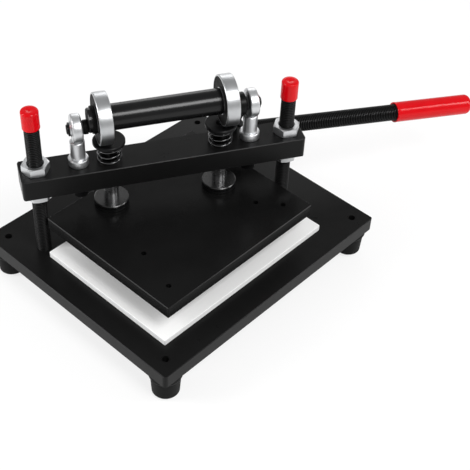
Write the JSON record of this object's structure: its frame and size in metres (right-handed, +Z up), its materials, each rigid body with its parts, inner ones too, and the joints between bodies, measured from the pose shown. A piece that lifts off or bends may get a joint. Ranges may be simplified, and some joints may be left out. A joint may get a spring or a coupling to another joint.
{
  "type": "manual die cutting press",
  "caption": "Hand lever die cutting press: an eccentric shaft with ball bearings pushes a sprung black plate down on a white cutting pad.",
  "frame": {"origin": "on the floor, in the middle of the four bench bolt holes", "axes": "+X along the base plate's short side, +Y along its long side, +Z up"},
  "size_m": [0.32, 0.6101, 0.269],
  "materials": {
    "black_paint": "satin black paint",
    "black_steel": "black oxide steel",
    "zinc_steel": "bright zinc plating",
    "bearing_steel": "ground and polished",
    "spring_steel": "dark oiled wire",
    "black_rubber": "matte moulded rubber",
    "red_plastic": "dipped glossy vinyl",
    "white_board": "matte cutting board"
  },
  "bodies": {
    "base": {"base_plate": "black_paint", "front_foot": "black_rubber", "left_foot": "black_rubber", "right_foot": "black_rubber", "back_foot": "black_rubber", "foot_sleeves": "zinc_steel", "left_column": "black_steel", "right_column": "black_steel", "column_base_nuts": "zinc_steel", "column_base_washers": "zinc_steel", "left_cap": "red_plastic", "right_cap": "red_plastic"},
    "pad": {"cutting_pad": "white_board"},
    "beam": {"crossbeam": "black_paint", "left_guide_bush": "black_steel", "right_guide_bush": "black_steel", "left_rod_end": "zinc_steel", "right_rod_end": "zinc_steel", "left_rod_end_screw": "black_steel", "right_rod_end_screw": "black_steel", "left_spring": "spring_steel", "right_spring": "spring_steel"},
    "shaft": {"eccentric_shaft": "black_steel", "left_rod_end_ball": "bearing_steel", "right_rod_end_ball": "bearing_steel", "left_retaining_ring": "black_steel", "right_retaining_ring": "black_steel", "left_bearing_inner": "bearing_steel", "right_bearing_inner": "bearing_steel", "left_bearing_balls": "bearing_steel", "right_bearing_balls": "bearing_steel", "left_lock_ring": "black_steel", "right_lock_ring": "black_steel", "left_spacer": "black_steel", "lever_arm": "black_paint", "lever_pin": "black_steel", "lever_rod": "black_steel", "lever_jam_nut": "black_steel", "lever_grip": "red_plastic"},
    "left_roller": {"left_bearing_outer": "bearing_steel", "left_bearing_seals": "black_rubber"},
    "right_roller": {"right_bearing_outer": "bearing_steel", "right_bearing_seals": "black_rubber"},
    "press": {"left_plunger_head": "black_paint", "right_plunger_head": "black_paint", "left_plunger_rod": "bearing_steel", "right_plunger_rod": "bearing_steel", "left_plunger_flange": "black_paint", "right_plunger_flange": "black_paint", "press_plate": "black_paint", "plate_screws": "black_steel"},
    "left_upper_nut_body": {"left_upper_nut": "zinc_steel"},
    "right_upper_nut_body": {"right_upper_nut": "zinc_steel"},
    "left_lower_nut_body": {"left_lower_nut": "zinc_steel"},
    "right_lower_nut_body": {"right_lower_nut": "zinc_steel"}
  },
  "joints": [
    {"name": "beam_height", "type": "slide", "parent": "base", "child": "beam", "axis": [0, 0, 1], "range_m": [-0.016, 0.036]},
    {"name": "press_slide", "type": "slide", "parent": "beam", "child": "press", "axis": [0, 0, -1], "range_m": [0, 0.01396], "stiffness_N_per_m": 8000, "springref_m": -0.012, "deforming": ["left_spring", "right_spring"]},
    {"name": "shaft_turn", "type": "hinge", "parent": "beam", "child": "shaft", "pos_m": [-0.018, -0.015, 0.2295], "axis": [0.5, 0.866, 0], "range_deg": [0, 130.1]},
    {"name": "left_roller_spin", "type": "hinge", "parent": "shaft", "child": "left_roller", "pos_m": [-0.05425, -0.07779, 0.238], "axis": [0.5, 0.866, 0], "continuous": true},
    {"name": "right_roller_spin", "type": "hinge", "parent": "shaft", "child": "right_roller", "pos_m": [0.01975, 0.05038, 0.238], "axis": [0.5, 0.866, 0], "continuous": true},
    {"name": "pad_slide", "type": "slide", "parent": "base", "child": "pad", "axis": [0, -1, 0], "range_m": [0, 0.15]},
    {"name": "left_upper_nut_turn", "type": "hinge", "parent": "beam", "child": "left_upper_nut_body", "pos_m": [-0.0945, -0.1475, 0.1835], "axis": [0, 0, 1], "range_deg": [-2310, 5190]},
    {"name": "right_upper_nut_turn", "type": "hinge", "parent": "beam", "child": "right_upper_nut_body", "pos_m": [0.0585, 0.1175, 0.1835], "axis": [0, 0, 1], "range_deg": [-2310, 5190]},
    {"name": "left_lower_nut_turn", "type": "hinge", "parent": "beam", "child": "left_lower_nut_body", "pos_m": [-0.0945, -0.1475, 0.145], "axis": [0, 0, 1], "range_deg": [-2310, 5190]},
    {"name": "right_lower_nut_turn", "type": "hinge", "parent": "beam", "child": "right_lower_nut_body", "pos_m": [0.0585, 0.1175, 0.145], "axis": [0, 0, 1], "range_deg": [-2310, 5190]}
  ],
  "couplings": [
    {"joint": "shaft_turn", "follows": "press_slide", "rad_per_m": 162.49},
    {"joint": "left_upper_nut_turn", "follows": "beam_height", "rad_per_m": 2513.3},
    {"joint": "right_upper_nut_turn", "follows": "beam_height", "rad_per_m": 2513.3},
    {"joint": "left_lower_nut_turn", "follows": "beam_height", "rad_per_m": 2513.3},
    {"joint": "right_lower_nut_turn", "follows": "beam_height", "rad_per_m": 2513.3}
  ]
}
